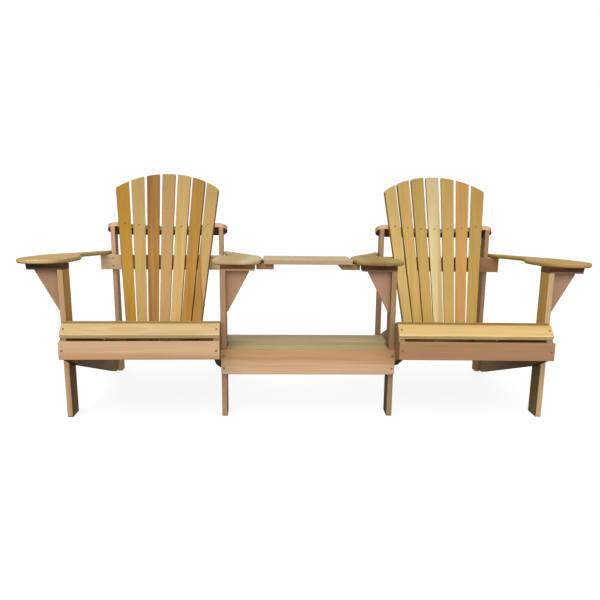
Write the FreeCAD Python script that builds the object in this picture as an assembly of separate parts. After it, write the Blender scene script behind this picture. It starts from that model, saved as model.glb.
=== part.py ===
import FreeCAD, Part
import math
import os

# Companion seat bench: two slatted garden chairs joined by a table and a low shelf.
# Each chair is drawn once in its own frame: x to the right, y to the back, z up,
# with the origin on the floor between the front faces of its front legs.
# The two chairs are then turned a little towards each other and set apart.

Vector = FreeCAD.Vector

# Overall sizes of the bench
overall_width = 2120.0
overall_height = 910.0
chair_turn = 1.5

# Board thickness shared by most pieces
board = 20.0
edge_round = 2.0

# Front legs
leg_spread = 592.0
leg_depth = 88.0
leg_height = 545.0
foot_chamfer = 4.0

# Side rails, which slope down from the seat front to the rear feet and taper up under the apron
rail_thickness = 22.0
rail_slope = 15.8
rail_top_at_legs = 337.0
rail_bottom_at_legs = 203.0
rail_bottom_at_front = 247.0
rail_front = -104.0
rail_foot_clearance = 6.0

# Rear posts
post_depth = 64.0

# Seat
seat_bevel_start = -50.0
seat_bevel_angle = 39.0
front_slat_width = 54.0
seat_slat_count = 8
seat_slat_width = 62.0
seat_slat_gap = 6.0
first_seat_slat = -49.0
seat_side_clearance = 0.5
slat_joint = 2.0
apron_bottom = 246.5
apron_top = 310.0

# Back: a fan of tapered slats on two hollowed rails
back_recline = 27.5
back_face_y = 748.0
back_face_z = 674.0
back_slat_count = 7
back_slat_thickness = 18.0
back_slat_turn = 5.42
hollow_radius = 682.0
hollow_growth = 0.346
slat_width_at_rail = 54.6
slat_taper = 0.0224
slat_bottom = -581.0
arch_radius = 333.0
upper_rail_back = -50.0
upper_rail_round_centre = 228.0
lower_rail_position = -536.0
lower_rail_back = -40.0
lower_rail_front = 30.0

# Crossbar that ties the rear posts and carries the rear of the arms, just clear of the back slats
crossbar_height = 66.0
crossbar_clearance = 4.5
crossbar_length = 600.0

# Arms and table lie on one plane that slopes down to the back, starting at the front of the leg tops
arm_slope = 1.4
arm_thickness = 17.0

# Arms: a wide rounded front, a waist on the seat side and a narrow tail beside the rear post
arm_width = 180.0
arm_outer_edge = 454.0
arm_front = -15.0
arm_edge_round = 7.0
arm_post_clearance = 1.5
arm_rear_width = 24.0
arm_rear_overhang = 60.0
inner_arm_shift = 31.0
# Places along an arm's edge: share of the way to the rear end, and swell away from a straight line
arm_outer_swell = [(0.1, 23), (0.2, 35), (0.3, 45), (0.4, 50), (0.51, 43), (0.62, 28), (0.75, 12), (0.88, 4)]
arm_inner_swell = [(0.12, 0), (0.22, 2), (0.31, 13), (0.4, 35), (0.5, 54),
                   (0.6, 58), (0.7, 43), (0.8, 24), (0.91, 4)]

# Cleats and brackets under the arms
cleat_reach = 124.0
cleat_bevel = 3.5
bracket_reach = 84.0
bracket_drop = 151.0
bracket_nose = 6.0
bracket_front = 24.0

# Table between the inner arms
table_board_count = 4
table_board_width = 74.0
table_board_gap = 4.5
table_front = 64.0
table_arm_joint = 3.0
table_cleat_width = 65.0
table_cleat_front = 75.0
table_cleat_length = 297.0
table_cleat_under_arm = 17.0

# Shelf between the inner legs
shelf_top = 259.0
shelf_board_count = 4
shelf_board_width = 68.0
shelf_board_gap = 4.5
shelf_leg_joint = 1.0
shelf_reach_behind_legs = 12.0
fascia_height = 92.0
fascia_joint = 0.5
ledger_front = 10.0
ledger_length = 276.0
ledger_height = 60.0
spacer_front = 200.0
spacer_length = 60.0

# Countersunk wood screws
screw_head_radius = 4.0
screw_head_depth = 3.2
screw_radius = 2.0
screw_length = 34.0
screw_tip = 5.0
screw_clearance = 0.05
screw_sink = 0.2
recess_length = 3.8
recess_width = 0.9
recess_depth = 1.6

# Sizes worked out from the values above
leg_outer = leg_spread / 2
leg_inner = leg_outer - board
rail_inner = leg_inner - rail_thickness
post_inner = rail_inner - board
cleat_top = leg_height + board
arm_top = cleat_top + arm_thickness
arm_round_centre = arm_front + arm_width / 2
slope = math.radians(arm_slope)
fall = math.tan(math.radians(rail_slope))
recline = math.radians(back_recline)
turn = math.radians(chair_turn)
# The crossbar's top front edge lies on the arms' underside, just behind the rear faces of the slats
underside_level = leg_height + board / math.cos(slope)
slats_rear_y = back_face_y + back_slat_thickness / math.cos(recline)
slats_rear_y -= (back_face_z - underside_level) * math.tan(recline)
crossbar_front = (slats_rear_y + crossbar_clearance) / (1 + math.tan(slope) * math.tan(recline))
post_front = crossbar_front + board
post_back = post_front + post_depth
crossbar_bottom = underside_level - crossbar_front * math.tan(slope) - crossbar_height
along_back = Vector(0, math.sin(recline), math.cos(recline))
out_of_back = Vector(0, -math.cos(recline), math.sin(recline))
across = Vector(1, 0, 0)
back_origin = Vector(0, back_face_y, back_face_z) - out_of_back * back_slat_thickness


def box(x0, x1, y0, y1, z0, z1):
    return Part.makeBox(x1 - x0, y1 - y0, z1 - z0, Vector(x0, y0, z0))


def prism(points, direction):
    """Solid from a closed flat outline pushed along a vector."""
    outline = Part.makePolygon(points + [points[0]])
    return Part.Face(outline).extrude(direction)


def side_profile(points, x0, x1):
    """Solid from (y, z) points, between two x places."""
    return prism([Vector(x0, y, z) for y, z in points], Vector(x1 - x0, 0, 0))


def rounded(shape, axis, radius=edge_round):
    """Round the straight edges of a board that run along one direction."""
    direction = Vector(axis).normalize()
    edges = []
    for edge in shape.Edges:
        run = edge.valueAt(edge.LastParameter) - edge.valueAt(edge.FirstParameter)
        if run.Length > 1 and abs(run.normalize().dot(direction)) > 0.999:
            edges.append(edge)
    return shape.makeFillet(radius, edges)


def mirrored(shape):
    return shape.mirror(Vector(0, 0, 0), across)


def rail_top(y):
    return rail_top_at_legs - fall * y


def rail_bottom(y):
    return rail_bottom_at_legs - fall * y


def arm_plane(y=0.0):
    """Turn that carries work drawn level down to the slope of the arms, about a line at depth y."""
    lean = FreeCAD.Rotation(across, -arm_slope)
    return FreeCAD.Placement(Vector(0, 0, 0), lean, Vector(0, y, leg_height))


def sloped(shape, y=0.0):
    return shape.transformed(arm_plane(y).toMatrix())


def sloped_screw(place, direction, y=0.0):
    plane = arm_plane(y)
    return plane.multVec(place), plane.Rotation.multVec(direction)


# Frame of one chair

def leg_blank(x0, x1):
    """Block as deep as a front leg, its top cut to the slope of the arms."""
    rear_height = leg_height - leg_depth * math.tan(slope)
    return side_profile([(0, 0), (leg_depth, 0), (leg_depth, rear_height), (0, leg_height)], x0, x1)


def front_leg():
    leg = rounded(leg_blank(leg_inner, leg_outer), (0, 0, 1))
    cutters = []
    for y, inward in ((0, 1), (leg_depth, -1)):
        corner = [(y, 0), (y + inward * foot_chamfer, 0), (y, foot_chamfer)]
        cutters.append(side_profile(corner, leg_inner, leg_outer))
    return leg.cut(cutters)


def side_rail():
    bevel = math.tan(math.radians(seat_bevel_angle))
    crest = rail_top(seat_bevel_start)
    front_top = crest - bevel * (seat_bevel_start - rail_front)
    foot_start = (rail_bottom_at_legs - rail_foot_clearance) / fall
    cut_end = leg_depth / 2
    outline = [
        (rail_front, rail_bottom_at_front),
        (rail_front, front_top),
        (seat_bevel_start, crest),
        (post_back, rail_top(post_back)),
        (post_back, rail_foot_clearance),
        (foot_start, rail_foot_clearance),
        (cut_end, rail_bottom(cut_end)),
    ]
    return side_profile(outline, rail_inner, leg_inner)


def back_point(x, n, s):
    """Place from x, the distance out of the back plane and the distance up along it."""
    return back_origin + across * x + out_of_back * n + along_back * s


def above_back_level(level):
    """Large block of everything further up the back than a level."""
    reach = 900.0
    places = ((-reach, -reach), (reach, -reach), (reach, reach), (-reach, reach))
    return prism([back_point(x, n, level) for x, n in places], along_back * reach)


def rear_post():
    post = box(post_inner, rail_inner, post_front, post_back, 0, back_face_z + post_depth)
    post = rounded(post, (0, 0, 1))
    cutters = [above_back_level(-board / 2)]
    for y, inward in ((post_front, 1), (post_back, -1)):
        corner = [(y, 0), (y + inward * foot_chamfer, 0), (y, foot_chamfer)]
        cutters.append(side_profile(corner, post_inner, rail_inner))
    return post.cut(cutters)


def arm_crossbar():
    half = crossbar_length / 2
    outline = [
        (crossbar_front, crossbar_bottom),
        (crossbar_front, crossbar_bottom + crossbar_height),
        (post_front, crossbar_bottom + crossbar_height - board * math.tan(slope)),
        (post_front, crossbar_bottom),
    ]
    return rounded(side_profile(outline, -half, half), (1, 0, 0))


def arm_cleat():
    outer = leg_inner + cleat_reach
    outline = [
        Vector(leg_inner, 0, leg_height),
        Vector(outer, 0, leg_height),
        Vector(outer + cleat_bevel, 0, cleat_top),
        Vector(leg_inner, 0, cleat_top),
    ]
    return sloped(prism(outline, Vector(0, leg_depth, 0)))


def arm_bracket():
    tip = leg_height - bracket_drop
    outline = [
        Vector(leg_outer, bracket_front, leg_height),
        Vector(leg_outer + bracket_reach, bracket_front, leg_height),
        Vector(leg_outer + bracket_reach, bracket_front, leg_height - bracket_nose),
        Vector(leg_outer + bracket_nose, bracket_front, tip),
        Vector(leg_outer, bracket_front, tip),
    ]
    blank = prism(outline, Vector(0, board, 0))
    return blank.common(leg_blank(leg_outer, leg_outer + bracket_reach))


def arm_edge(front_u, rear_u, rear_y, swells):
    """Smooth side edge of an arm from its rounded front to its rear end."""
    points = [Vector(front_u, arm_round_centre, cleat_top)]
    for share, swell in swells:
        u = front_u + share * (rear_u - front_u) + swell
        y = arm_round_centre + share * (rear_y - arm_round_centre)
        points.append(Vector(u, y, cleat_top))
    points.append(Vector(rear_u, rear_y, cleat_top))
    curve = Part.BSplineCurve()
    curve.interpolate(Points=points, InitialTangent=Vector(0, 1, 0), FinalTangent=Vector(0, 1, 0))
    return curve.toShape()


def arm(shift):
    """Arm board on the +x side, its front moved inwards by a shift and its edge rounded all along."""
    outer = arm_outer_edge - shift
    inner = outer - arm_width
    rear_y = post_front + arm_rear_overhang
    rear_inner = rail_inner + arm_post_clearance
    rear_outer = rear_inner + arm_rear_width
    start = Vector(outer, arm_round_centre, cleat_top)
    end = Vector(inner, arm_round_centre, cleat_top)
    tip = Vector((outer + inner) / 2, arm_front, cleat_top)
    front = Part.Arc(end, tip, start).toShape()
    outer_edge = arm_edge(outer, rear_outer, rear_y, arm_outer_swell)
    inner_edge = arm_edge(inner, rear_inner, rear_y, arm_inner_swell)
    rear = Part.makeLine(Vector(rear_outer, rear_y, cleat_top), Vector(rear_inner, rear_y, cleat_top))
    outline = Part.Wire([front, outer_edge, rear, inner_edge])
    plate = Part.Face(outline).extrude(Vector(0, 0, arm_thickness))
    nothing = 0.01
    edges = []
    for edge in plate.Edges:
        flat = edge.BoundBox.ZLength < nothing
        at_rear = edge.BoundBox.YLength < nothing
        if flat and not at_rear:
            edges.append(edge)
    return sloped(plate.makeFillet(arm_edge_round, edges))


# Seat of one chair

def seat_apron():
    apron = box(-leg_inner, leg_inner, rail_front - board, rail_front, apron_bottom, apron_top)
    return rounded(apron, (1, 0, 0))


def sloping_board(y, z, angle, width, half_length):
    """Board across the chair, its lower face starting at (y, z) and rising to the back by an angle."""
    a = math.radians(angle)
    run = Vector(0, math.cos(a), math.sin(a)) * width
    up = Vector(0, -math.sin(a), math.cos(a)) * board
    corner = Vector(-half_length, y, z)
    solid = prism([corner, corner + run, corner + run + up, corner + up], across * (2 * half_length))
    return rounded(solid, (1, 0, 0))


def seat_front_slat():
    a = math.radians(seat_bevel_angle)
    reach = front_slat_width + slat_joint
    y = seat_bevel_start - reach * math.cos(a)
    z = rail_top(seat_bevel_start) - reach * math.sin(a)
    return sloping_board(y, z, seat_bevel_angle, front_slat_width, leg_inner)


def seat_slats():
    boards = []
    pitch = (seat_slat_width + seat_slat_gap) * math.cos(math.radians(rail_slope))
    for index in range(seat_slat_count):
        y = first_seat_slat + index * pitch
        half = leg_inner - seat_side_clearance
        boards.append(sloping_board(y, rail_top(y), -rail_slope, seat_slat_width, half))
    return boards


# Back of one chair

def slat_frame(index):
    """Middle of a slat's rear face at the upper rail, with its length, width and outward directions."""
    a = math.radians(back_slat_turn * index)
    start = back_point(hollow_radius * math.sin(a), hollow_radius * (1 - math.cos(a)), 0)
    length = across * math.sin(a) + out_of_back * (1 - math.cos(a))
    length = length * hollow_growth + along_back
    length.normalize()
    tangent = across * math.cos(a) + out_of_back * math.sin(a)
    outward = length.cross(tangent).normalize()
    width = outward.cross(length).normalize()
    if outward.dot(out_of_back) < 0:
        outward = outward * -1
    if width.dot(across) < 0:
        width = width * -1
    return start, length, width, outward


def slat_top():
    """Distance up the back at which the middle slat reaches the overall height."""
    return (overall_height - back_face_z) / math.cos(recline)


def arch():
    """Block that keeps the part of the fan below its arched top."""
    centre = slat_top() - arch_radius
    reach = 900.0
    disc = Part.makeCylinder(arch_radius, reach, back_point(0, -reach / 2, centre), out_of_back)
    corners = [back_point(x, -reach / 2, centre) for x in (-arch_radius, arch_radius)]
    lower = [corner - along_back * reach for corner in reversed(corners)]
    return disc.fuse(prism(corners + lower, out_of_back * reach))


def back_slat(index, keep):
    start, length, width, outward = slat_frame(index)
    top = slat_top() + board
    corners = []
    for side, s in ((-1, slat_bottom), (1, slat_bottom), (1, top), (-1, top)):
        half = (slat_width_at_rail + slat_taper * s) / 2
        corners.append(start + length * s + width * (side * half))
    blank = prism(corners, outward * back_slat_thickness)
    edges = []
    for edge in blank.Edges:
        run = edge.valueAt(edge.LastParameter) - edge.valueAt(edge.FirstParameter)
        if run.Length > top:
            edges.append(edge)
    return blank.makeFillet(edge_round, edges).common(keep)


def hollow():
    """Space in front of the rear faces of all the slats, which the back rails are cut to."""
    reach = 1400.0
    space = None
    for index in range(-(back_slat_count // 2), back_slat_count // 2 + 1):
        start, length, width, outward = slat_frame(index)
        corners = []
        for side, end in ((-1, -1), (1, -1), (1, 1), (-1, 1)):
            corners.append(start + width * (side * reach / 2) + length * (end * reach / 2))
        block = prism(corners, outward * (reach / 2))
        space = block if space is None else space.common(block)
    return space


def upper_back_rail(space):
    outermost = math.radians(back_slat_turn * (back_slat_count // 2))
    contact_x = hollow_radius * math.sin(outermost)
    contact_n = hollow_radius * (1 - math.cos(outermost))
    end_x = upper_rail_round_centre
    front = contact_n + (end_x - contact_x) * math.tan(outermost)
    middle = (front + upper_rail_back) / 2
    tip = end_x + (front - upper_rail_back) / 2
    level = -board / 2

    def place(x, n):
        return back_point(x, n, level)

    right = Part.Arc(place(end_x, front), place(tip, middle), place(end_x, upper_rail_back)).toShape()
    rear = Part.makeLine(place(end_x, upper_rail_back), place(-end_x, upper_rail_back))
    left = Part.Arc(place(-end_x, upper_rail_back), place(-tip, middle), place(-end_x, front)).toShape()
    face_line = Part.makeLine(place(-end_x, front), place(end_x, front))
    plate = Part.Face(Part.Wire([right, rear, left, face_line])).extrude(along_back * board)
    return plate.cut(space)


def lower_back_rail(space):
    level = lower_rail_position - board / 2
    places = ((-rail_inner, lower_rail_back), (rail_inner, lower_rail_back))
    places += ((rail_inner, lower_rail_front), (-rail_inner, lower_rail_front))
    plate = prism([back_point(x, n, level) for x, n in places], along_back * board)
    return plate.cut(space)


# Screws

def screw_profile(gap):
    """Turned outline of a countersunk screw pointing down from z = 0, grown by a gap."""
    head = screw_head_radius + gap
    shank = screw_radius + gap
    top = screw_sink if gap else 0.0
    points = [
        Vector(0, 0, top),
        Vector(head, 0, top),
        Vector(head, 0, 0),
        Vector(shank, 0, -screw_head_depth),
        Vector(shank, 0, screw_tip - screw_length),
        Vector(0, 0, -screw_length - gap),
    ]
    if not gap:
        points.pop(1)
    face = Part.Face(Part.makePolygon(points + [points[0]]))
    return face.revolve(Vector(0, 0, 0), Vector(0, 0, 1), 360)


def screw_body():
    body = screw_profile(0.0)
    long_side = recess_length / 2
    short_side = recess_width / 2
    slots = [box(-long_side, long_side, -short_side, short_side, -recess_depth, 1)]
    slots.append(box(-short_side, short_side, -long_side, long_side, -recess_depth, 1))
    return body.cut(slots)


def placed(master, place, inward):
    """Copy of a screw shape, its head at a place and its tip along a direction."""
    copy = master.copy()
    turn_down = FreeCAD.Rotation(Vector(0, 0, -1), inward)
    copy.Placement = FreeCAD.Placement(place, turn_down)
    return copy


def chair_screw_places():
    """Head places on the wood surfaces of one chair, with the directions the screws run in."""
    back = Vector(0, 1, 0)
    down = Vector(0, 0, -1)
    places = []
    post_middle = (rail_inner + post_inner) / 2
    rail_middle = (leg_inner + rail_inner) / 2
    for side in (-1, 1):
        for drop in (0.24, 0.76):
            height = crossbar_bottom + crossbar_height * (1 - drop)
            places.append((Vector(side * post_middle, crossbar_front, height), back))
        apron_middle = (apron_top + apron_bottom) / 2
        places.append((Vector(side * rail_middle, rail_front - board, apron_middle), back))
        inward = Vector(-side, 0, 0)
        for y in (0.3 * leg_depth, 0.7 * leg_depth):
            places.append((Vector(side * leg_outer, y, rail_top(y) - 0.25 * leg_depth), inward))
            places.append((Vector(side * leg_outer, y, rail_bottom(y) + 0.3 * leg_depth), inward))
        for y in (post_front + 0.25 * post_depth, post_front + 0.75 * post_depth):
            places.append((Vector(side * leg_inner, y, rail_top(y) - board), inward))
        rail_depth = (lower_rail_back + lower_rail_front) / 2
        places.append((back_point(side * leg_inner, rail_depth, lower_rail_position), inward))
        for u in (leg_inner + board, leg_inner + 0.75 * cleat_reach):
            places.append(sloped_screw(Vector(side * u, leg_depth / 2, arm_top), down))
        rear_u = rail_inner + arm_post_clearance + arm_rear_width
        places.append(sloped_screw(Vector(side * rear_u, crossbar_front + board / 2, arm_top), down))
    return places


def slat_screw_places():
    """Screws through the back slats into the two back rails."""
    places = []
    for index in range(-(back_slat_count // 2), back_slat_count // 2 + 1):
        start, length, width, outward = slat_frame(index)
        for level in (0.0, lower_rail_position):
            distance = level / length.dot(along_back)
            places.append((start + length * distance + outward * back_slat_thickness, outward * -1))
    return places


def seat_screw_places():
    """Screws through the ends of the seat slats into the side rails."""
    places = []
    rail_middle = (leg_inner + rail_inner) / 2
    a = math.radians(seat_bevel_angle)
    reach = slat_joint + front_slat_width / 2
    up = Vector(0, -math.sin(a), math.cos(a))
    crest = Vector(0, seat_bevel_start, rail_top(seat_bevel_start))
    spot = crest - Vector(0, math.cos(a), math.sin(a)) * reach + up * board
    b = math.radians(rail_slope)
    seat_up = Vector(0, math.sin(b), math.cos(b))
    seat_run = Vector(0, math.cos(b), -math.sin(b))
    for side in (-1, 1):
        places.append((spot + across * (side * rail_middle), up * -1))
        for index in range(seat_slat_count):
            along = index * (seat_slat_width + seat_slat_gap) + seat_slat_width / 2
            start = Vector(side * rail_middle, first_seat_slat, rail_top(first_seat_slat))
            places.append((start + seat_run * along + seat_up * board, seat_up * -1))
    return places


def touches(shape, cutter):
    return shape.BoundBox.intersect(cutter.BoundBox)


def drilled(shape, holes):
    near = [hole for hole in holes if touches(shape, hole)]
    return shape.cut(near) if near else shape


# One whole chair

def chair(inner_side):
    """All pieces of a chair by name. inner_side is +1 or -1, the side next to the table."""
    names = {inner_side: "inner", -inner_side: "outer"}
    arm_shift = {inner_side: inner_arm_shift}
    pieces = {}
    leg = front_leg()
    rail = side_rail()
    post = rear_post()
    cleat = arm_cleat()
    bracket = arm_bracket()
    for side, name in names.items():
        pieces["front_leg_" + name] = [leg if side > 0 else mirrored(leg)]
        pieces["side_rail_" + name] = [rail if side > 0 else mirrored(rail)]
        pieces["rear_post_" + name] = [post if side > 0 else mirrored(post)]
        own_arm = arm(arm_shift.get(side, 0.0))
        pieces["arm_" + name] = [own_arm if side > 0 else mirrored(own_arm)]
    pieces["arm_cleats"] = [cleat, mirrored(cleat)]
    pieces["arm_brackets"] = [bracket, mirrored(bracket)]
    pieces["arm_crossbar"] = [arm_crossbar()]
    pieces["seat_apron"] = [seat_apron()]
    pieces["seat_front_slat"] = [seat_front_slat()]
    pieces["seat_slats"] = seat_slats()
    space = hollow()
    pieces["upper_back_rail"] = [upper_back_rail(space)]
    pieces["lower_back_rail"] = [lower_back_rail(space)]
    keep = arch()
    middle = back_slat_count // 2
    for number in range(back_slat_count):
        pieces["back_slat_%d" % (number + 1)] = [back_slat(number - middle, keep)]
    places = chair_screw_places() + slat_screw_places() + seat_screw_places()
    return pieces, places


# Table and shelf between the chairs

def side_line(u, y, spacing):
    """Half width between the chairs at a depth, for a line at distance u from a chair's middle."""
    return spacing - u / math.cos(turn) + y * math.tan(turn)


def crossing_boards(count, width, gap, thickness, front, z, u, spacing, reach_behind_legs=0.0):
    """Boards from chair to chair, their ends cut to the turn of the chairs."""
    boards = []
    for index in range(count):
        y0 = front + index * (width + gap)
        y1 = y0 + width
        reach = reach_behind_legs if y0 > leg_depth else 0.0
        near = side_line(u - reach, y0, spacing)
        far = side_line(u - reach, y1, spacing)
        outline = [Vector(-near, y0, z), Vector(near, y0, z), Vector(far, y1, z), Vector(-far, y1, z)]
        boards.append(rounded(prism(outline, Vector(0, 0, thickness)), (1, 0, 0)))
    return boards


def in_chair(shape, side, spacing):
    """Move a shape from a chair's own frame into the bench."""
    placed_shape = shape.copy()
    placed_shape.rotate(Vector(0, 0, 0), Vector(0, 0, 1), -side * chair_turn)
    placed_shape.translate(Vector(side * spacing, 0, 0))
    return placed_shape


def table_cleat():
    """Cleat under the joint of an arm and the table, in the frame of the left chair."""
    start = arm_outer_edge - inner_arm_shift - table_cleat_under_arm
    cleat = box(start, start + table_cleat_width, table_cleat_front,
                table_cleat_front + table_cleat_length, leg_height, cleat_top)
    return sloped(cleat)


def table_line():
    """Depth of the line that the table slopes down from, level with the far edges of its cleats."""
    cleat_edge = arm_outer_edge - inner_arm_shift - table_cleat_under_arm + table_cleat_width
    return cleat_edge * math.sin(turn)


def shelf_supports():
    """Ledger on the inner leg and the spacer that ties it to the side rail."""
    top = shelf_top - board
    ledger = box(leg_outer, leg_outer + board, ledger_front, ledger_front + ledger_length,
                 top - ledger_height, top)
    spacer = box(leg_inner, leg_outer, spacer_front, spacer_front + spacer_length,
                 top - ledger_height, top)
    return [ledger, spacer]


def middle_pieces(spacing):
    pieces = {}
    edge = arm(inner_arm_shift).optimalBoundingBox(False).XMax + table_arm_joint
    boards = crossing_boards(table_board_count, table_board_width, table_board_gap, arm_thickness,
                             table_front, cleat_top, edge, spacing)
    for number, solid in enumerate(boards):
        pieces["table_board_%d" % (number + 1)] = [sloped(solid, table_line())]
    cleat = table_cleat()
    pieces["table_cleats"] = [in_chair(cleat, -1, spacing), in_chair(mirrored(cleat), 1, spacing)]
    fascia_back = leg_inner * math.sin(turn)
    reach = side_line(leg_inner, fascia_back - board, spacing)
    fascia_bottom = shelf_top - fascia_height
    fascia = box(-reach, reach, fascia_back - board, fascia_back, fascia_bottom, shelf_top)
    pieces["shelf_fascia"] = [rounded(fascia, (1, 0, 0))]
    boards = crossing_boards(shelf_board_count, shelf_board_width, shelf_board_gap, board,
                             fascia_back + fascia_joint, shelf_top - board,
                             leg_outer + shelf_leg_joint, spacing, shelf_reach_behind_legs)
    for number, solid in enumerate(boards):
        pieces["shelf_board_%d" % (number + 1)] = [solid]
    supports = shelf_supports()
    pieces["shelf_ledgers"] = [in_chair(piece, -1, spacing) for piece in supports]
    pieces["shelf_ledgers"] += [in_chair(mirrored(piece), 1, spacing) for piece in supports]
    return pieces


def middle_screw_places(spacing):
    """Screws of the table from below, of the shelf from above and of its fascia from the front."""
    places = []
    up = Vector(0, 0, 1)
    down = Vector(0, 0, -1)
    arm_edge_line = arm_outer_edge - inner_arm_shift
    under_table = arm_edge_line + table_cleat_width - table_cleat_under_arm - board / 2
    under_arm = arm_edge_line - table_cleat_under_arm / 2
    for side in (-1, 1):
        for index in range(table_board_count):
            y = table_front + index * (table_board_width + table_board_gap) + table_board_width / 2
            if y < table_cleat_front + board:
                y = table_cleat_front + board
            for u in (under_table, under_arm):
                place = Vector(side * side_line(u, y, spacing), y, leg_height)
                places.append(sloped_screw(place, up, table_line()))
        fascia_back = leg_inner * math.sin(turn)
        for index in range(shelf_board_count):
            y = fascia_back + index * (shelf_board_width + shelf_board_gap) + shelf_board_width / 2
            place = Vector(side * side_line(leg_outer + board / 2, y, spacing), y, shelf_top)
            places.append((place, down))
        for rise in (0.25, 0.75):
            x = spacing - (leg_inner + board / 2) * math.cos(turn)
            z = shelf_top - fascia_height * rise
            places.append((Vector(side * x, fascia_back - board, z), Vector(0, 1, 0)))
    return places


# The bench

def bench():
    outer_arm = arm(0.0)
    outer_arm.rotate(Vector(0, 0, 0), Vector(0, 0, 1), -chair_turn)
    spacing = overall_width / 2 - outer_arm.optimalBoundingBox(False).XMax
    body = screw_body()
    hole = screw_profile(screw_clearance)
    nodes = {}
    for side, prefix in ((-1, "left_"), (1, "right_")):
        pieces, places = chair(-side)
        holes = [placed(hole, place + inward * screw_sink, inward) for place, inward in places]
        screws = [placed(body, place + inward * screw_sink, inward) for place, inward in places]
        for name, solids in pieces.items():
            cut = [drilled(solid, holes) for solid in solids]
            nodes[prefix + name] = [in_chair(solid, side, spacing) for solid in cut]
        nodes[prefix + "screws"] = [in_chair(screw, side, spacing) for screw in screws]
    places = middle_screw_places(spacing)
    holes = [placed(hole, place + inward * screw_sink, inward) for place, inward in places]
    nodes.update(middle_pieces(spacing))
    for name in nodes:
        if not name.endswith("screws"):
            nodes[name] = [drilled(solid, holes) for solid in nodes[name]]
    screws = [placed(body, place + inward * screw_sink, inward) for place, inward in places]
    nodes["middle_screws"] = screws
    return nodes


def main():
    os.makedirs("parts", exist_ok=True)
    nodes = bench()
    boxes = [Part.makeCompound(solids).BoundBox for solids in nodes.values()]
    front = min(b.YMin for b in boxes)
    back = max(b.YMax for b in boxes)
    centre = Vector(0, -(front + back) / 2, 0)
    for name, solids in nodes.items():
        node = Part.makeCompound(solids) if len(solids) > 1 else solids[0]
        node = node.translated(centre)
        node.exportStep("parts/%s.step" % name)
    print("nodes %d, front %.2f, back %.2f" % (len(nodes), front, back))
    print("width %.2f to %.2f" % (min(b.XMin for b in boxes), max(b.XMax for b in boxes)))
    print("height %.2f to %.2f" % (min(b.ZMin for b in boxes), max(b.ZMax for b in boxes)))


main()
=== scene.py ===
import math
import random

import bpy
from mathutils import Matrix, Vector


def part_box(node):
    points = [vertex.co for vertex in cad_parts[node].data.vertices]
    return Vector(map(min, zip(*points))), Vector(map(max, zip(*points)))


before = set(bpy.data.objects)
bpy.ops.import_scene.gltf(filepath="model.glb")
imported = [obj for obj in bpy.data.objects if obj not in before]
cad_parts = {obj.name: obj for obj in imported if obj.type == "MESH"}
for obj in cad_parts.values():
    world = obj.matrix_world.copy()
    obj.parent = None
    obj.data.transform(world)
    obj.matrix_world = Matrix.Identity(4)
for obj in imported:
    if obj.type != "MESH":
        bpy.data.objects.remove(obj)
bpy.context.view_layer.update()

scene = bpy.context.scene
scene.view_settings.view_transform = "Standard"

# Lengths are in metres and angles in degrees, unless a comment says otherwise.
chair_turn = 1.5
seat_slope = 15.8
back_recline = 27.5
seat_board_pitch = 0.068
middle_board_count = 4
up = Vector((0, 0, 1))

# Camera at the photograph's place, found by fitting the printed sizes
camera_place = Vector((-0.1209, -2.8224, 0.7769))
camera_yaw = 2.379
camera_pitch = -13.793
camera_roll = 0.668
nearest_seen = 0.05
farthest_seen = 50

# The photograph in pixels, and the sensor in millimetres
photo_width = 600
focal_pixels = 677.6
axis_pixel = (302.8, 371.3)
sensor_width = 36.0

# Sky that is white above the horizon and dim below it, by the height of the direction
sky_dim = 0.25
sky_dim_below = -0.3
sky_white_above = -0.05

# Wide distant lamps: direction that the light comes from, power and width in degrees
lamps = {
    "key": ((-0.4, -1.0, 1.0), 1.7, 40),
    "fill": ((0.2, -1.0, 0.2), 1.4, 60),
}

# Pale floor just below the feet
floor_reach = 60.0
floor_level = -0.0005
floor_grey = 0.14
floor_glow = 0.88


# Node graph helpers

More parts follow.
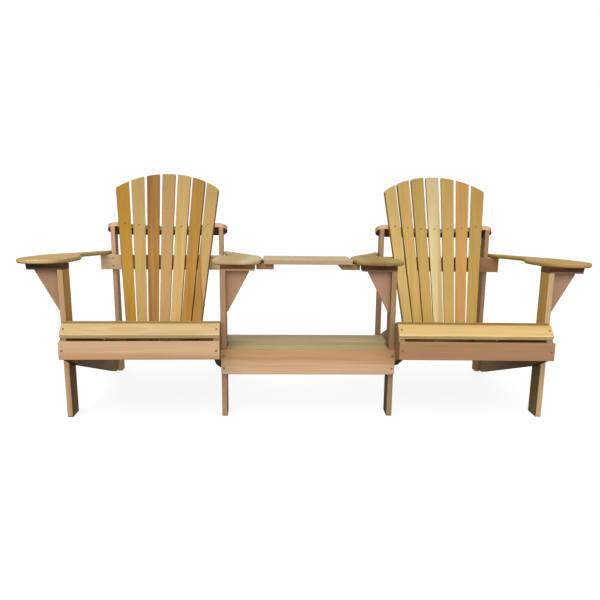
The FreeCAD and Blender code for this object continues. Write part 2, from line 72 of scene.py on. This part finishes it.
class Graph:
    """Builds shader nodes with short calls. A value is a number, a tuple or another node's socket."""

    def __init__(self, tree):
        self.tree = tree

    def node(self, kind, **settings):
        made = self.tree.nodes.new(kind)
        for name, value in settings.items():
            setattr(made, name, value)
        return made

    def feed(self, socket, value):
        """Links another node's socket, or sets the value on this one."""
        if isinstance(value, bpy.types.NodeSocket):
            self.tree.links.new(value, socket)
        else:
            socket.default_value = value

    def feed_all(self, node, values):
        for name, value in values.items():
            self.feed(node.inputs[name], value)

    def calculate(self, operation, *values):
        made = self.node("ShaderNodeMath", operation=operation)
        for socket, value in zip(made.inputs, values):
            self.feed(socket, value)
        return made.outputs[0]

    def add(self, first, second):
        return self.calculate("ADD", first, second)

    def subtract(self, first, second):
        return self.calculate("SUBTRACT", first, second)

    def multiply(self, first, second):
        return self.calculate("MULTIPLY", first, second)

    def centred(self, value):
        """Turns a value from 0 to 1 into one from -0.5 to 0.5."""
        return self.subtract(value, 0.5)

    def swing(self, value, amount):
        """Factor around 1 that follows a value from 0 to 1."""
        return self.add(1.0, self.multiply(self.centred(value), amount))

    def vector(self, operation, *values):
        made = self.node("ShaderNodeVectorMath", operation=operation)
        for socket, value in zip(made.inputs, values):
            self.feed(socket, value)
        return made.outputs["Value" if operation == "DOT_PRODUCT" else "Vector"]

    def dot(self, first, second):
        return self.vector("DOT_PRODUCT", first, second)

    def combine(self, x, y, z):
        made = self.node("ShaderNodeCombineXYZ")
        for socket, value in zip(made.inputs, (x, y, z)):
            self.feed(socket, value)
        return made.outputs[0]

    def noise(self, place, scale=1.0, detail=2.0, roughness=0.5):
        made = self.node("ShaderNodeTexNoise")
        self.feed_all(made, {"Vector": place, "Scale": scale, "Detail": detail,
                             "Roughness": roughness})
        return made.outputs["Fac"]

    def ramp(self, value, low, high, to_low=0.0, to_high=1.0, kind="SMOOTHSTEP"):
        """Value that goes from one level to another between two limits."""
        made = self.node("ShaderNodeMapRange", interpolation_type=kind)
        self.feed_all(made, {"Value": value, "From Min": low, "From Max": high,
                             "To Min": to_low, "To Max": to_high})
        return made.outputs[0]

    def mix(self, share, first, second, blend="MIX"):
        """Mixes two colours. The node's colour sockets come after its number and vector ones."""
        made = self.node("ShaderNodeMix", data_type="RGBA", blend_type=blend)
        for index, value in ((0, share), (6, first), (7, second)):
            self.feed(made.inputs[index], value)
        return made.outputs[2]

    def tint(self, colour, by):
        return self.mix(1.0, colour, by, "MULTIPLY")


def new_material(name):
    """Gives the material, its graph and its main shader."""
    material = bpy.data.materials.new(name)
    material.use_nodes = True
    return material, Graph(material.node_tree), material.node_tree.nodes["Principled BSDF"]


def opaque(colour):
    return (*colour, 1.0)


def multiplied(colour, tint):
    return tuple(value * share for value, share in zip(colour, tint))


# Camera, light and floor

def add_camera():
    data = bpy.data.cameras.new("camera")
    data.sensor_width = sensor_width
    data.lens = focal_pixels / photo_width * sensor_width
    middle = photo_width / 2
    data.shift_x = -(axis_pixel[0] - middle) / photo_width
    data.shift_y = (axis_pixel[1] - middle) / photo_width
    data.clip_start = nearest_seen
    data.clip_end = farthest_seen
    yaw = math.radians(camera_yaw)
    pitch = math.radians(camera_pitch)
    roll = math.radians(camera_roll)
    level_ahead = Vector((math.sin(yaw), math.cos(yaw), 0))
    level_right = Vector((math.cos(yaw), -math.sin(yaw), 0))
    forward = level_ahead * math.cos(pitch) + up * math.sin(pitch)
    level_top = level_right.cross(forward)
    to_right = level_right * math.cos(roll) + level_top * math.sin(roll)
    to_top = level_top * math.cos(roll) - level_right * math.sin(roll)
    camera = bpy.data.objects.new("camera", data)
    turned = Matrix((to_right, to_top, -forward)).transposed().to_4x4()
    camera.matrix_world = Matrix.Translation(camera_place) @ turned
    scene.collection.objects.link(camera)
    scene.camera = camera


def add_sky():
    world = bpy.data.worlds.new("studio")
    world.use_nodes = True
    graph = Graph(world.node_tree)
    direction = graph.node("ShaderNodeTexCoord").outputs["Generated"]
    height = graph.dot(direction, up)
    brightness = graph.ramp(height, sky_dim_below, sky_white_above, sky_dim, 1.0, kind="LINEAR")
    graph.feed_all(world.node_tree.nodes["Background"], {"Color": brightness})
    scene.world = world


def add_lamps():
    """Lamps like softboxes so far away that they light the whole floor evenly."""
    for name, (direction, power, width) in lamps.items():
        data = bpy.data.lights.new(name, "SUN")
        data.energy = power
        data.angle = math.radians(width)
        lamp = bpy.data.objects.new(name, data)
        lamp.rotation_euler = Vector(direction).to_track_quat("Z", "Y").to_euler()
        scene.collection.objects.link(lamp)


def add_floor():
    """Pale floor that the camera sees, without light thrown back up under the seats."""
    mesh = bpy.data.meshes.new("floor")
    corners = [(x * floor_reach, y * floor_reach, floor_level)
               for x, y in ((-1, -1), (1, -1), (1, 1), (-1, 1))]
    mesh.from_pydata(corners, [], [(0, 1, 2, 3)])
    floor = bpy.data.objects.new("floor", mesh)
    floor.visible_diffuse = False
    floor.visible_glossy = False
    scene.collection.objects.link(floor)
    material, graph, shader = new_material("pale_floor")
    graph.feed_all(shader, {
        "Base Color": opaque((floor_grey, floor_grey, floor_grey)),
        "Roughness": 1.0,
        "Specular IOR Level": 0.0,
        "Emission Color": opaque((1.0, 1.0, 1.0)),
        "Emission Strength": floor_glow,
    })
    mesh.materials.append(material)


# Cedar: one shared group of nodes, with its inputs set per board

# In a node of several boards, "Boards per metre" points from board to board.
# The side tint goes on what faces the tinted side, and grows between two heights above the floor. On the
# legs, the back slats' feet and the arm cleats it is painted shade.
cedar_inputs = {
    "NodeSocketVector": ("Along", "Across", "Centre", "Boards per metre", "Tinted side"),
    "NodeSocketFloat": ("Vary", "Seed", "Pith across", "Pith depth", "Pith lean", "Ring spacing",
                        "Heart reach", "Heart blend", "Streaks", "Fade", "Painted side tone", "Painted under tone",
                        "End tone", "No tint at", "Full tint at"),
    "NodeSocketColor": ("Sap", "Heart", "Late", "Face tint", "Side tint"),
}
cedar_outputs = {
    "NodeSocketColor": ("Color",),
    "NodeSocketFloat": ("Roughness", "Height"),
}

# Pace of the noises per metre, along the grain and across it
wander_pace = (1.6, 7.0)
fibre_pace = (14.0, 620.0)
streak_pace = (2.2, 90.0)
blotch_pace = (4.0, 14.0)

fibre_noise = {"detail": 3.0, "roughness": 0.6}
streak_noise = {"detail": 3.0, "roughness": 0.55}
fibre_contrast = 0.18
blotch_contrast = 0.14

# Boards that share a node differ by these amounts, and sit apart in the noises.
dice_pace = 1.37
board_shift = 40.0
pith_change = 0.08
reach_change = 0.05
tone_change = 0.22

# How far the grain wanders, and how uneven the rings and the heartwood's edge are
wander_across = 0.03
wander_depth = 0.02
wander_apart = (31.0, 17.0, 5.0)
lean_in_depth = 0.6
ring_noise_pace = 0.37
ring_unevenness = 2.0
heart_edge_waver = 0.02

# Dark late wood fills the last part of each ring, and is fainter in some rings.
late_wood_grows = (0.25, 0.86)
late_wood_ends = (0.9, 1.0)
ring_fades = (0.25, 0.7)
faintest_ring = 0.35
late_wood_share = 0.34

# How squarely a surface faces a direction to count as a side or face, an underside or an end
side_limits = (0.5, 0.9)
under_limits = (0.3, 0.8)
end_limits = (0.55, 0.85)

# Shaded wood turns warmer: these powers make its green and blue drop faster than its red.
side_warmth = (1.15, 1.6)
end_warmth = (1.5, 2.2)

base_roughness = 0.5
fibre_roughness = 0.2
late_wood_dip = -0.5
gloss = 0.12
bump_strength = 0.25
bump_height = 0.0006


class CedarGraph(Graph):
    """Solid texture of a sawn cedar board: growth rings round a pith, heartwood and fibres."""

    def __init__(self, tree):
        super().__init__(tree)
        self.given = self.node("NodeGroupInput").outputs
        self.position = self.node("ShaderNodeTexCoord").outputs["Object"]
        self.normal = self.node("ShaderNodeNewGeometry").outputs["Normal"]
        self.measure_place()
        self.draw_chances()
        self.grow_rings()
        self.grow_late_wood()
        self.grow_fibres()

    def measure_place(self):
        """Place on the board: along the grain, across it and through its thickness."""
        given = self.given
        self.depth_axis = self.vector("CROSS_PRODUCT", given["Along"], given["Across"])
        self.offset = self.vector("SUBTRACT", self.position, given["Centre"])
        self.along = self.dot(self.offset, given["Along"])
        self.across = self.dot(self.offset, given["Across"])
        self.depth = self.dot(self.offset, self.depth_axis)

    def draw_chances(self):
        """Number of the board inside its node, its chances from 0 to 1 and its shift in the noises."""
        place = self.dot(self.offset, self.given["Boards per metre"])
        self.number = self.calculate("FLOOR", self.add(place, 0.5))
        dice = self.node("ShaderNodeTexWhiteNoise", noise_dimensions="1D")
        throw = self.add(self.multiply(self.number, dice_pace), self.given["Seed"])
        self.feed(dice.inputs["W"], throw)
        chances = self.node("ShaderNodeSeparateColor")
        self.feed(chances.inputs[0], dice.outputs["Color"])
        self.pith_chance, self.reach_chance, self.tone_chance = chances.outputs
        shift = self.multiply(dice.outputs["Value"], board_shift)
        self.shifted_along = self.add(self.along, shift)

    def own_change(self, chance, amount):
        """What a chance changes on a board that shares its node with others, and 0 elsewhere."""
        return self.multiply(self.centred(chance), self.multiply(self.given["Vary"], amount))

    def stretched(self, pace, across, depth):
        """Texture place with its own pace along the grain and across it."""
        pace_along, pace_across = pace
        return self.combine(self.multiply(self.shifted_along, pace_along),
                            self.multiply(across, pace_across), self.multiply(depth, pace_across))

    def grow_rings(self):
        """Growth rings round a leaning pith, in grain that wanders slowly."""
        given = self.given
        slow = self.stretched(wander_pace, self.across, self.depth)
        apart = self.vector("ADD", slow, wander_apart)
        aside = self.multiply(self.centred(self.noise(slow)), wander_across)
        inwards = self.multiply(self.centred(self.noise(apart)), wander_depth)
        lean = self.multiply(self.along, given["Pith lean"])
        own_shift = self.own_change(self.pith_chance, pith_change)
        pith_across = self.add(self.add(given["Pith across"], own_shift), lean)
        pith_depth = self.add(given["Pith depth"], self.multiply(lean, lean_in_depth))
        x = self.subtract(self.add(self.across, aside), pith_across)
        y = self.subtract(self.add(self.depth, inwards), pith_depth)
        self.from_pith = (x, y)
        self.radius = self.calculate("SQRT", self.add(self.multiply(x, x), self.multiply(y, y)))

    def grow_late_wood(self):
        """Late wood in each ring, with uneven rings of which some are fainter."""
        rings = self.calculate("DIVIDE", self.radius, self.given["Ring spacing"])
        place = self.combine(self.multiply(rings, ring_noise_pace), self.given["Seed"], self.number)
        uneven = self.noise(place)
        phase = self.calculate("FRACT", self.add(rings, self.multiply(uneven, ring_unevenness)))
        late = self.multiply(self.ramp(phase, *late_wood_grows),
                             self.ramp(phase, *late_wood_ends, 1.0, 0.0))
        self.late = self.multiply(late, self.ramp(uneven, *ring_fades, faintest_ring, 1.0))

    def grow_fibres(self):
        """Fibres, and streaks that follow the rings."""
        self.fine = self.noise(self.stretched(fibre_pace, self.across, self.depth), **fibre_noise)
        self.streak = self.noise(self.stretched(streak_pace, *self.from_pith), **streak_noise)

    def wood_colour(self):
        """Heartwood inside its reach, and late wood in each ring."""
        given = self.given
        waver = self.multiply(self.centred(self.streak), heart_edge_waver)
        reach = self.add(given["Heart reach"], self.own_change(self.reach_chance, reach_change))
        heart = self.ramp(self.add(self.radius, waver), self.subtract(reach, given["Heart blend"]),
                          self.add(reach, given["Heart blend"]), 1.0, 0.0)
        colour = self.mix(heart, given["Sap"], given["Heart"])
        return self.mix(self.multiply(self.late, late_wood_share), colour, given["Late"])

    def tone(self):
        """Tone of streaks, fibres, blotches and the single board, with painted shade that changes along
        the board.
        """
        blotch = self.noise(self.stretched(blotch_pace, self.across, self.depth))
        tone = self.swing(self.streak, self.given["Streaks"])
        tone = self.multiply(tone, self.swing(self.fine, fibre_contrast))
        tone = self.multiply(tone, self.swing(blotch, blotch_contrast))
        tone = self.multiply(tone, self.add(1.0, self.own_change(self.tone_chance, tone_change)))
        # Painted shade and light that change along the board
        tone = self.multiply(tone, self.add(1.0, self.multiply(self.along, self.given["Fade"])))
        return self.combine(tone, tone, tone)

    def facing(self, axis, limits):
        """How far the surface faces along an axis, either way."""
        return self.ramp(self.calculate("ABSOLUTE", self.dot(self.normal, axis)), *limits)

    def warm_shade(self, tone, warmth):
        green_power, blue_power = warmth
        return self.combine(tone, self.calculate("POWER", tone, green_power),
                            self.calculate("POWER", tone, blue_power))

    def shade_sides(self, colour):
        """Painted shade and light: the side tone darkens or lightens what faces across the board, and the
        under tone darkens what faces down.
        """
        sideways = self.facing(self.given["Across"], side_limits)
        downwards = self.ramp(self.dot(self.normal, -up), *under_limits)
        painted_side_tone = self.ramp(sideways, 0.0, 1.0, 1.0, self.given["Painted side tone"])
        painted_under_tone = self.ramp(downwards, 0.0, 1.0, 1.0, self.given["Painted under tone"])
        return self.tint(colour, self.warm_shade(self.multiply(painted_side_tone, painted_under_tone), side_warmth))

    def tint_faces(self, colour):
        """The broad faces of some boards have their own tint, and one side of others gets a tint, which
        is painted shade on the legs, the back slats' feet and the arm cleats.
        """
        given = self.given
        broad = self.facing(self.depth_axis, side_limits)
        colour = self.mix(broad, colour, self.tint(colour, given["Face tint"]))
        height = self.dot(self.position, up)
        tinted = self.multiply(self.ramp(self.dot(self.normal, given["Tinted side"]), *side_limits),
                               self.ramp(height, given["No tint at"], given["Full tint at"]))
        return self.mix(tinted, colour, self.tint(colour, given["Side tint"]))

    def shade_ends(self, colour):
        """End grain, which shows at both ends of the board."""
        end = self.facing(self.given["Along"], end_limits)
        shade = self.warm_shade(self.given["End tone"], end_warmth)
        return self.mix(end, colour, self.tint(colour, shade))


def cedar_group():
    group = bpy.data.node_groups.new("cedar", "ShaderNodeTree")
    for in_out, sockets in (("INPUT", cedar_inputs), ("OUTPUT", cedar_outputs)):
        for kind, names in sockets.items():
            for name in names:
                group.interface.new_socket(name, in_out=in_out, socket_type=kind)
    graph = CedarGraph(group)
    colour = graph.tint(graph.wood_colour(), graph.tone())
    colour = graph.shade_ends(graph.tint_faces(graph.shade_sides(colour)))
    graph.feed_all(graph.node("NodeGroupOutput"), {
        "Color": colour,
        "Roughness": graph.add(base_roughness, graph.multiply(graph.fine, fibre_roughness)),
        "Height": graph.add(graph.multiply(graph.late, late_wood_dip), graph.fine),
    })
    return group


# Reflectance of planed cedar in each shade, between its rings
shades = {
    "gold": (0.325, 0.177, 0.020),
    "amber": (0.305, 0.160, 0.028),
    "brass": (0.320, 0.200, 0.048),
    "ochre": (0.355, 0.229, 0.062),
    "honey": (0.390, 0.250, 0.074),
    "sand": (0.365, 0.241, 0.082),
    "wheat": (0.405, 0.272, 0.093),
    "straw": (0.420, 0.297, 0.102),
    "birch": (0.392, 0.277, 0.133),
    "butter": (0.435, 0.300, 0.120),
    "cream": (0.465, 0.363, 0.178),
    "russet": (0.272, 0.136, 0.028),
    "tan": (0.340, 0.210, 0.080),
    "salmon": (0.375, 0.208, 0.056),
    "rose": (0.440, 0.290, 0.165),
    "ash": (0.550, 0.450, 0.290),
    "clay": (0.290, 0.172, 0.094),
    "brick": (0.280, 0.156, 0.078),
    "reed": (0.395, 0.314, 0.146),
    "khaki": (0.285, 0.196, 0.060),
    "buff": (0.360, 0.230, 0.125),
    "flax": (0.395, 0.262, 0.143),
    "mauve": (0.284, 0.162, 0.103),
    "willow": (0.350, 0.270, 0.140),
    "moss": (0.240, 0.153, 0.072),
    "olive": (0.200, 0.125, 0.046),
    "bark": (0.180, 0.100, 0.050),
    "walnut": (0.115, 0.064, 0.032),
}
heart_tint = (0.84, 0.72, 0.60)
late_tint = (0.74, 0.60, 0.46)

# Ranges for what differs from node to node
seed_limit = 50
pith_across_limit = 0.06
pith_depth_range = (0.02, 0.08)
pith_lean_limit = 0.05
ring_spacing_range = (0.003, 0.006)
heart_reach_range = (0.03, 0.07)

# What every board has unless a look changes it. The tint heights let the whole tinted side count.
usual_look = {
    "Heart blend": 0.012,
    "Streaks": 0.35,
    "Fade": 0.0,
    "Painted side tone": 1.0,
    # Painted shade on every underside
    "Painted under tone": 0.7,
    "End tone": 0.75,
    "No tint at": -1.0,
    "Full tint at": -0.5,
    "Face tint": opaque((1.0, 1.0, 1.0)),
    "Side tint": opaque((1.0, 1.0, 1.0)),
}


def wood(node, shade, along, across, *looks, boards_per_metre=(0, 0, 0), tinted_side=(0, 0, 0)):
    """Gives a node its own cedar, with the grain along one direction. Looks change the group's inputs."""
    low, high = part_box(node)
    draw = random.Random(node)
    clear = shades[shade]
    values = {
        "Along": Vector(along).normalized(),
        "Across": Vector(across).normalized(),
        "Centre": (low + high) / 2,
        "Boards per metre": boards_per_metre,
        "Vary": 1.0 if Vector(boards_per_metre).length > 0 else 0.0,
        "Tinted side": tinted_side,
        "Seed": draw.uniform(0, seed_limit),
        "Pith across": draw.uniform(-pith_across_limit, pith_across_limit),
        "Pith depth": draw.choice((-1, 1)) * draw.uniform(*pith_depth_range),
        "Pith lean": draw.uniform(-pith_lean_limit, pith_lean_limit),
        "Ring spacing": draw.uniform(*ring_spacing_range),
        "Heart reach": draw.uniform(*heart_reach_range),
        "Sap": opaque(clear),
        "Heart": opaque(multiplied(clear, heart_tint)),
        "Late": opaque(multiplied(clear, late_tint)),
    }
    for look in (usual_look, *looks):
        values.update(look)
    material, graph, shader = new_material("cedar_" + node)
    texture = graph.node("ShaderNodeGroup", node_tree=cedar)
    graph.feed_all(texture, values)
    bump = graph.node("ShaderNodeBump")
    graph.feed_all(bump, {
        "Strength": bump_strength,
        "Distance": bump_height,
        "Height": texture.outputs["Height"],
    })
    graph.feed_all(shader, {
        "Base Color": texture.outputs["Color"],
        "Roughness": texture.outputs["Roughness"],
        "Specular IOR Level": gloss,
        "Normal": bump.outputs["Normal"],
    })
    dress(node, material)


def dress(node, material):
    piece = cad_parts[node]
    if not piece.data.materials:
        piece.data.materials.append(material)
    for slot in piece.material_slots:
        slot.link = "OBJECT"
        slot.material = material


# Screws of dulled steel with brown grime

dark_steel = (0.11, 0.06, 0.03)
light_steel = (0.2, 0.12, 0.06)
steel_roughness = (0.35, 0.6)
steel_metallic = 0.6
grime_noise = {"scale": 900.0, "detail": 3.0}
grime_limits = (0.2, 0.8)


def steel():
    material, graph, shader = new_material("screw_steel")
    place = graph.node("ShaderNodeTexCoord").outputs["Object"]
    grime = graph.noise(place, **grime_noise)
    graph.feed_all(shader, {
        "Base Color": graph.mix(grime, opaque(dark_steel), opaque(light_steel)),
        "Metallic": steel_metallic,
        "Roughness": graph.ramp(grime, *grime_limits, *steel_roughness),
    })
    return material


# Looks, which change inputs of the cedar

# Heartwood bands and streaks that single back slats show in the photograph
no_heart = {"Heart reach": -0.1}
strong_streaks = {"Streaks": 0.9}
clear_streaks = {"Streaks": 0.6}
centre_band = {"Pith across": 0.0, "Pith depth": 0.04, "Pith lean": 0.0,
               "Heart reach": 0.042, "Heart blend": 0.003}
right_half = {"Pith across": 0.053, "Pith depth": 0.01, "Pith lean": 0.03,
              "Heart reach": 0.05, "Heart blend": 0.006}
low_left = {"Pith across": -0.073, "Pith depth": 0.01, "Pith lean": -0.085,
            "Heart reach": 0.063, "Heart blend": 0.004, "Heart": opaque(shades["russet"])}
brown_top = {"Pith across": -0.1, "Pith depth": 0.01, "Pith lean": 0.2,
             "Heart reach": 0.05, "Heart blend": 0.01}

# Tones of sides, undersides, ends and faces. The side and underside tones are painted shade and light.
# Painted shade under the seat
shade_under_seat = {"Painted side tone": 0.6, "Painted under tone": 0.5}
# Deeper painted shade under the upper back rail, between the slats
deep_shade_under = {"Painted under tone": 0.3}
# The side rails' ends are lighter than their faces
light_ends = {"End tone": 1.7}
# Painted highlight on the arms' front edges, without painted shade underneath
arm_highlight = {"End tone": 1.25, "Painted under tone": 1.0}
# Painted highlight on the front slat's front edge, without painted shade underneath
nose_highlight = {"Painted side tone": 1.4, "Painted under tone": 1.0}
olive_faces = {"Face tint": opaque((0.82, 0.72, 0.45))}
golden_faces = {"Face tint": opaque((0.97, 0.87, 0.40))}

# Painted shade: the slats' feet are dark below the seat, and so are the legs' sides towards the bench's
# middle.
# The slats also get painted shade on their sides and towards their tops, and the cleats get a painted
# shadow under the arms.
slat_painted_shade = {"Painted side tone": 0.5, "Fade": -0.45, "No tint at": 0.25, "Full tint at": 0.21,
               "Side tint": opaque((0.3, 0.3, 0.3))}
leg_painted_shade = {"No tint at": 0.29, "Full tint at": 0.19, "Side tint": opaque((0.45, 0.45, 0.45))}
cleat_painted_shadow = {"No tint at": 0.549, "Full tint at": 0.552}
table_edge = {"Side tint": opaque((0.83, 0.75, 0.96))}

# What differs between the two chairs, as the photograph shows it
chair_looks = {
    "left": {
        "leg_outer": "buff",
        "leg_inner": "clay",
        "post": "rose",
        "arm_outer": "sand",
        "arm_inner": "reed",
        "arm_edge_outer": {},
        "arm_edge_inner": {"Side tint": opaque((0.85, 0.78, 0.95))},
        # The cleats' dark brick is partly their own colour and partly painted shade. Their shadow under
        # the arm is painted, and the outer one is painted darker.
        "cleats": "bark",
        "cleat_shadow": {"Fade": 1.9, "Side tint": opaque((0.3, 0.22, 0.12))},
        "bracket": "clay",
        "crossbar": "ash",
        "apron": "rose",
        "front_slat": "birch",
        "back_slats": (("gold", centre_band), ("sand", no_heart), ("russet", strong_streaks),
                       ("tan", brown_top), ("wheat", centre_band), ("amber", {}),
                       ("sand", low_left)),
    },
    "right": {
        "leg_outer": "flax",
        "leg_inner": "moss",
        "post": "clay",
        "arm_outer": "brass",
        "arm_inner": "khaki",
        "arm_edge_outer": {"Side tint": opaque((0.86, 0.68, 0.92))},
        "arm_edge_inner": {"Side tint": opaque((0.62, 0.55, 0.66))},
        # The cleats' dark brick is partly their own colour and partly painted shade, and their shadow
        # under the arm is painted.
        "cleats": "walnut",
        "cleat_shadow": {"Side tint": opaque((0.36, 0.2, 0.08))},
        "bracket": "mauve",
        "crossbar": "brick",
        "apron": "brick",
        "front_slat": "butter",
        "back_slats": (("straw", no_heart), ("honey", no_heart), ("ochre", {}),
                       ("cream", right_half), ("ochre", no_heart), ("salmon", clear_streaks),
                       ("brass", no_heart)),
    },
}
middle_shades = ("reed", "willow")

# Tells the two boards of a pair apart, because they lie on both sides of their node's middle
pair_per_metre = 2


def dress_chair(side, sign):
    """Dresses one chair. The sign is 1 for the left chair's turn and -1 for the right chair's."""
    turn = math.radians(chair_turn)
    slope = math.radians(seat_slope)
    recline = math.radians(back_recline)
    right = Vector((math.cos(turn), sign * math.sin(turn), 0))
    back = Vector((-sign * math.sin(turn), math.cos(turn), 0))
    down_seat = back * math.cos(slope) - up * math.sin(slope)
    up_back = back * math.sin(recline) + up * math.cos(recline)
    pair = right * pair_per_metre
    chosen = chair_looks[side]
    for place, faces in (("outer", golden_faces), ("inner", olive_faces)):
        wood(f"{side}_front_leg_{place}", chosen[f"leg_{place}"], up, back, faces, leg_painted_shade,
             tinted_side=right * sign)
        wood(f"{side}_rear_post_{place}", chosen["post"], up, back, olive_faces)
        wood(f"{side}_side_rail_{place}", "olive", down_seat, up, shade_under_seat, light_ends)
        wood(f"{side}_arm_{place}", chosen[f"arm_{place}"], back, right, arm_highlight,
             chosen[f"arm_edge_{place}"], tinted_side=-back)
    wood(f"{side}_arm_cleats", chosen["cleats"], right, back, cleat_painted_shadow,
         chosen["cleat_shadow"], boards_per_metre=pair, tinted_side=-back)
    wood(f"{side}_arm_brackets", chosen["bracket"], up, right, boards_per_metre=pair)
    wood(f"{side}_arm_crossbar", chosen["crossbar"], right, up)
    wood(f"{side}_upper_back_rail", "rose", right, back, deep_shade_under)
    wood(f"{side}_lower_back_rail", "olive", right, back)
    wood(f"{side}_seat_apron", chosen["apron"], right, up)
    wood(f"{side}_seat_front_slat", chosen["front_slat"], right, back, nose_highlight)
    wood(f"{side}_seat_slats", "sand", right, down_seat, shade_under_seat,
         boards_per_metre=down_seat / seat_board_pitch)
    for number, (shade, look) in enumerate(chosen["back_slats"], 1):
        wood(f"{side}_back_slat_{number}", shade, up_back, right, slat_painted_shade, look,
             tinted_side=-back)
    dress(f"{side}_screws", screw_steel)


def dress_middle():
    """Dresses the table and the shelf. The first table board's front edge has its own tint."""
    right = Vector((1, 0, 0))
    back = Vector((0, 1, 0))
    pair = right * pair_per_metre
    for number in range(1, middle_board_count + 1):
        shade = middle_shades[(number - 1) % len(middle_shades)]
        wood(f"table_board_{number}", shade, right, back, no_heart, table_edge,
             tinted_side=-back if number == 1 else (0, 0, 0))
        wood(f"shelf_board_{number}", shade, right, back, no_heart)
    wood("shelf_fascia", "rose", right, up)
    wood("table_cleats", "buff", back, right, boards_per_metre=pair)
    wood("shelf_ledgers", "olive", back, up, boards_per_metre=pair)
    dress("middle_screws", screw_steel)


add_camera()
add_sky()
add_lamps()
add_floor()
cedar = cedar_group()
screw_steel = steel()
for side, sign in (("left", 1), ("right", -1)):
    dress_chair(side, sign)
dress_middle()
